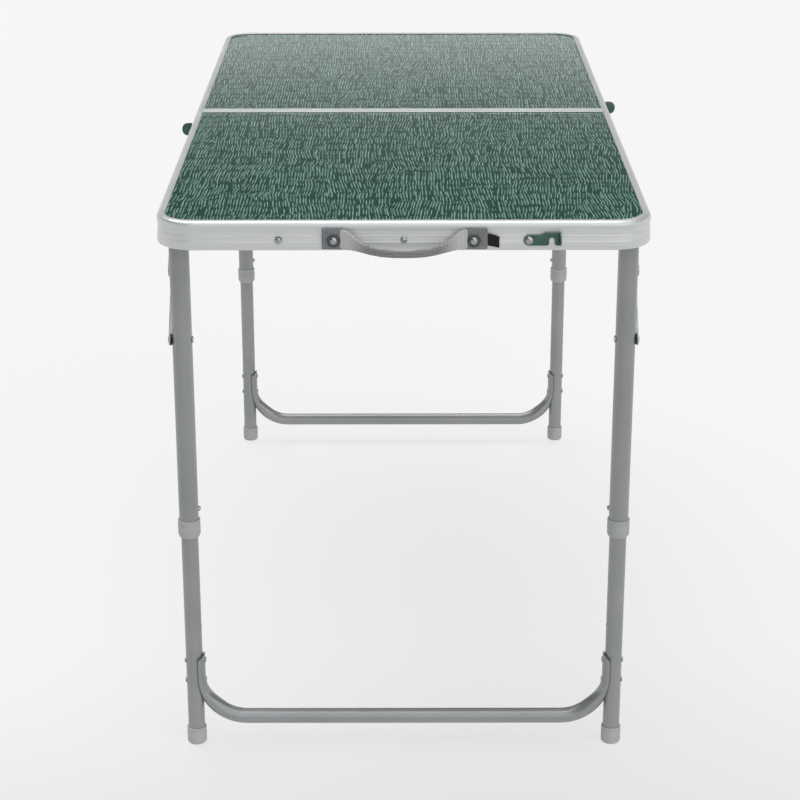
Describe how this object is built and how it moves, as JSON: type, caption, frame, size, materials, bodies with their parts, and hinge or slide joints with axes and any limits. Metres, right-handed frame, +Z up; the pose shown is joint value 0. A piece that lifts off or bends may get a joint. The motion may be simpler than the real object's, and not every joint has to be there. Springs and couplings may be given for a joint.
{
  "type": "folding picnic table",
  "caption": "Folding picnic table: patterned panels in a rounded aluminium rail, hinged across the middle, on telescoping tube legs with U-shaped braces.",
  "frame": {"origin": "on the floor at the centre of the bounding box of the open table", "axes": "+Y along the long side away from the carrying handle, +Z up, +X to the right seen from the handle end"},
  "size_m": [0.63, 1.237, 0.73],
  "materials": {
    "aluminium": "satin anodised",
    "table_panel": "glossy laminate printed with a pale green hatch",
    "leg_paint": "satin grey enamel",
    "grey_plastic": "moulded, fine matte",
    "steel": "zinc plated",
    "green_paint": "green enamel",
    "webbing": "woven webbing",
    "tag": "plain black woven label"
  },
  "bodies": {
    "near_top": {"near_frame": "aluminium", "near_panel": "table_panel", "near_center_strip": "aluminium", "near_support": "aluminium", "near_left_hinge": "steel", "near_right_hinge": "steel", "near_hook_rivet": "steel", "near_keeper_stud": "steel", "near_left_bracket": "steel", "near_right_bracket": "steel", "handle_strap": "webbing", "label_tag": "tag", "handle_left_screw": "steel", "handle_right_screw": "steel", "center_rivet": "steel"},
    "far_top": {"far_frame": "aluminium", "far_panel": "table_panel", "far_center_strip": "aluminium", "far_support": "aluminium", "far_left_hinge": "steel", "far_right_hinge": "steel", "far_hook_rivet": "steel", "far_keeper_stud": "steel", "far_left_bracket": "steel", "far_right_bracket": "steel"},
    "near_legs": {"near_left_upper_leg": "leg_paint", "near_left_collar": "grey_plastic", "near_right_upper_leg": "leg_paint", "near_right_collar": "grey_plastic"},
    "near_lower_legs": {"near_brace": "leg_paint", "near_left_lower_leg": "leg_paint", "near_left_foot": "grey_plastic", "near_right_lower_leg": "leg_paint", "near_right_foot": "grey_plastic"},
    "near_left_button": {"near_left_button": "steel"},
    "near_left_lower_stay": {"near_left_lower_stay": "steel"},
    "near_left_upper_stay": {"near_left_upper_stay": "steel"},
    "near_right_button": {"near_right_button": "steel"},
    "near_right_lower_stay": {"near_right_lower_stay": "steel"},
    "near_right_upper_stay": {"near_right_upper_stay": "steel"},
    "near_end_hook": {"near_end_hook": "green_paint"},
    "near_side_hook": {"near_side_hook": "green_paint"},
    "far_legs": {"far_left_upper_leg": "leg_paint", "far_left_collar": "grey_plastic", "far_right_upper_leg": "leg_paint", "far_right_collar": "grey_plastic"},
    "far_lower_legs": {"far_brace": "leg_paint", "far_left_lower_leg": "leg_paint", "far_left_foot": "grey_plastic", "far_right_lower_leg": "leg_paint", "far_right_foot": "grey_plastic"},
    "far_left_button": {"far_left_button": "steel"},
    "far_left_lower_stay": {"far_left_lower_stay": "steel"},
    "far_left_upper_stay": {"far_left_upper_stay": "steel"},
    "far_right_button": {"far_right_button": "steel"},
    "far_right_lower_stay": {"far_right_lower_stay": "steel"},
    "far_right_upper_stay": {"far_right_upper_stay": "steel"},
    "far_end_hook": {"far_end_hook": "green_paint"},
    "far_side_hook": {"far_side_hook": "green_paint"}
  },
  "joints": [
    {"name": "main_fold", "type": "hinge", "parent": "near_top", "child": "far_top", "pos_m": [0, 0.0075, 0.694], "axis": [-1, 0, 0], "range_deg": [0, 70]},
    {"name": "near_leg_fold", "type": "hinge", "parent": "near_top", "child": "near_legs", "pos_m": [0, -0.5425, 0.709], "axis": [1, 0, 0], "range_deg": [0, 90]},
    {"name": "near_leg_slide", "type": "slide", "parent": "near_legs", "child": "near_lower_legs", "axis": [0, 0, 1], "range_m": [0, 0.164]},
    {"name": "near_left_button_press", "type": "slide", "parent": "near_legs", "child": "near_left_button", "axis": [-1, 0, 0], "range_m": [0, 0.0028], "stiffness_N_per_m": 800},
    {"name": "near_left_upper_stay_fold", "type": "hinge", "parent": "near_top", "child": "near_left_upper_stay", "pos_m": [0, -0.4125, 0.713], "axis": [1, 0, 0], "range_deg": [0, 132]},
    {"name": "near_left_lower_stay_fold", "type": "hinge", "parent": "near_legs", "child": "near_left_lower_stay", "pos_m": [0, -0.5425, 0.565], "axis": [1, 0, 0], "range_deg": [-143, 0]},
    {"name": "near_right_button_press", "type": "slide", "parent": "near_legs", "child": "near_right_button", "axis": [1, 0, 0], "range_m": [0, 0.0028], "stiffness_N_per_m": 800},
    {"name": "near_right_upper_stay_fold", "type": "hinge", "parent": "near_top", "child": "near_right_upper_stay", "pos_m": [0, -0.4125, 0.713], "axis": [1, 0, 0], "range_deg": [0, 132]},
    {"name": "near_right_lower_stay_fold", "type": "hinge", "parent": "near_legs", "child": "near_right_lower_stay", "pos_m": [0, -0.5425, 0.565], "axis": [1, 0, 0], "range_deg": [-143, 0]},
    {"name": "near_end_hook_turn", "type": "hinge", "parent": "near_top", "child": "near_end_hook", "pos_m": [0.15, -0.5939, 0.7072], "axis": [0, 1, 0], "range_deg": [0, 90]},
    {"name": "near_side_hook_turn", "type": "hinge", "parent": "near_top", "child": "near_side_hook", "pos_m": [-0.3014, -0.0145, 0.7072], "axis": [1, 0, 0], "range_deg": [0, 90]},
    {"name": "far_leg_fold", "type": "hinge", "parent": "far_top", "child": "far_legs", "pos_m": [0, 0.5575, 0.709], "axis": [-1, 0, 0], "range_deg": [0, 90]},
    {"name": "far_leg_slide", "type": "slide", "parent": "far_legs", "child": "far_lower_legs", "axis": [0, 0, 1], "range_m": [0, 0.164]},
    {"name": "far_left_button_press", "type": "slide", "parent": "far_legs", "child": "far_left_button", "axis": [1, 0, 0], "range_m": [0, 0.0028], "stiffness_N_per_m": 800},
    {"name": "far_left_upper_stay_fold", "type": "hinge", "parent": "far_top", "child": "far_left_upper_stay", "pos_m": [0, 0.4275, 0.713], "axis": [-1, 0, 0], "range_deg": [0, 132]},
    {"name": "far_left_lower_stay_fold", "type": "hinge", "parent": "far_legs", "child": "far_left_lower_stay", "pos_m": [0, 0.5575, 0.565], "axis": [-1, 0, 0], "range_deg": [-143, 0]},
    {"name": "far_right_button_press", "type": "slide", "parent": "far_legs", "child": "far_right_button", "axis": [-1, 0, 0], "range_m": [0, 0.0028], "stiffness_N_per_m": 800},
    {"name": "far_right_upper_stay_fold", "type": "hinge", "parent": "far_top", "child": "far_right_upper_stay", "pos_m": [0, 0.4275, 0.713], "axis": [-1, 0, 0], "range_deg": [0, 132]},
    {"name": "far_right_lower_stay_fold", "type": "hinge", "parent": "far_legs", "child": "far_right_lower_stay", "pos_m": [0, 0.5575, 0.565], "axis": [-1, 0, 0], "range_deg": [-143, 0]},
    {"name": "far_end_hook_turn", "type": "hinge", "parent": "far_top", "child": "far_end_hook", "pos_m": [-0.15, 0.6089, 0.7072], "axis": [0, -1, 0], "range_deg": [0, 90]},
    {"name": "far_side_hook_turn", "type": "hinge", "parent": "far_top", "child": "far_side_hook", "pos_m": [0.3014, 0.0295, 0.7072], "axis": [-1, 0, 0], "range_deg": [0, 90]}
  ],
  "couplings": [
    {"joint": "near_leg_slide", "follows": "near_leg_fold", "m_per_rad": 0.10441},
    {"joint": "near_left_upper_stay_fold", "follows": "near_leg_fold", "ratio": 1.4644},
    {"joint": "near_left_lower_stay_fold", "follows": "near_leg_fold", "ratio": -1.5829},
    {"joint": "near_right_upper_stay_fold", "follows": "near_leg_fold", "ratio": 1.4644},
    {"joint": "near_right_lower_stay_fold", "follows": "near_leg_fold", "ratio": -1.5829},
    {"joint": "far_leg_slide", "follows": "far_leg_fold", "m_per_rad": 0.10441},
    {"joint": "far_left_upper_stay_fold", "follows": "far_leg_fold", "ratio": 1.4644},
    {"joint": "far_left_lower_stay_fold", "follows": "far_leg_fold", "ratio": -1.5829},
    {"joint": "far_right_upper_stay_fold", "follows": "far_leg_fold", "ratio": 1.4644},
    {"joint": "far_right_lower_stay_fold", "follows": "far_leg_fold", "ratio": -1.5829}
  ]
}
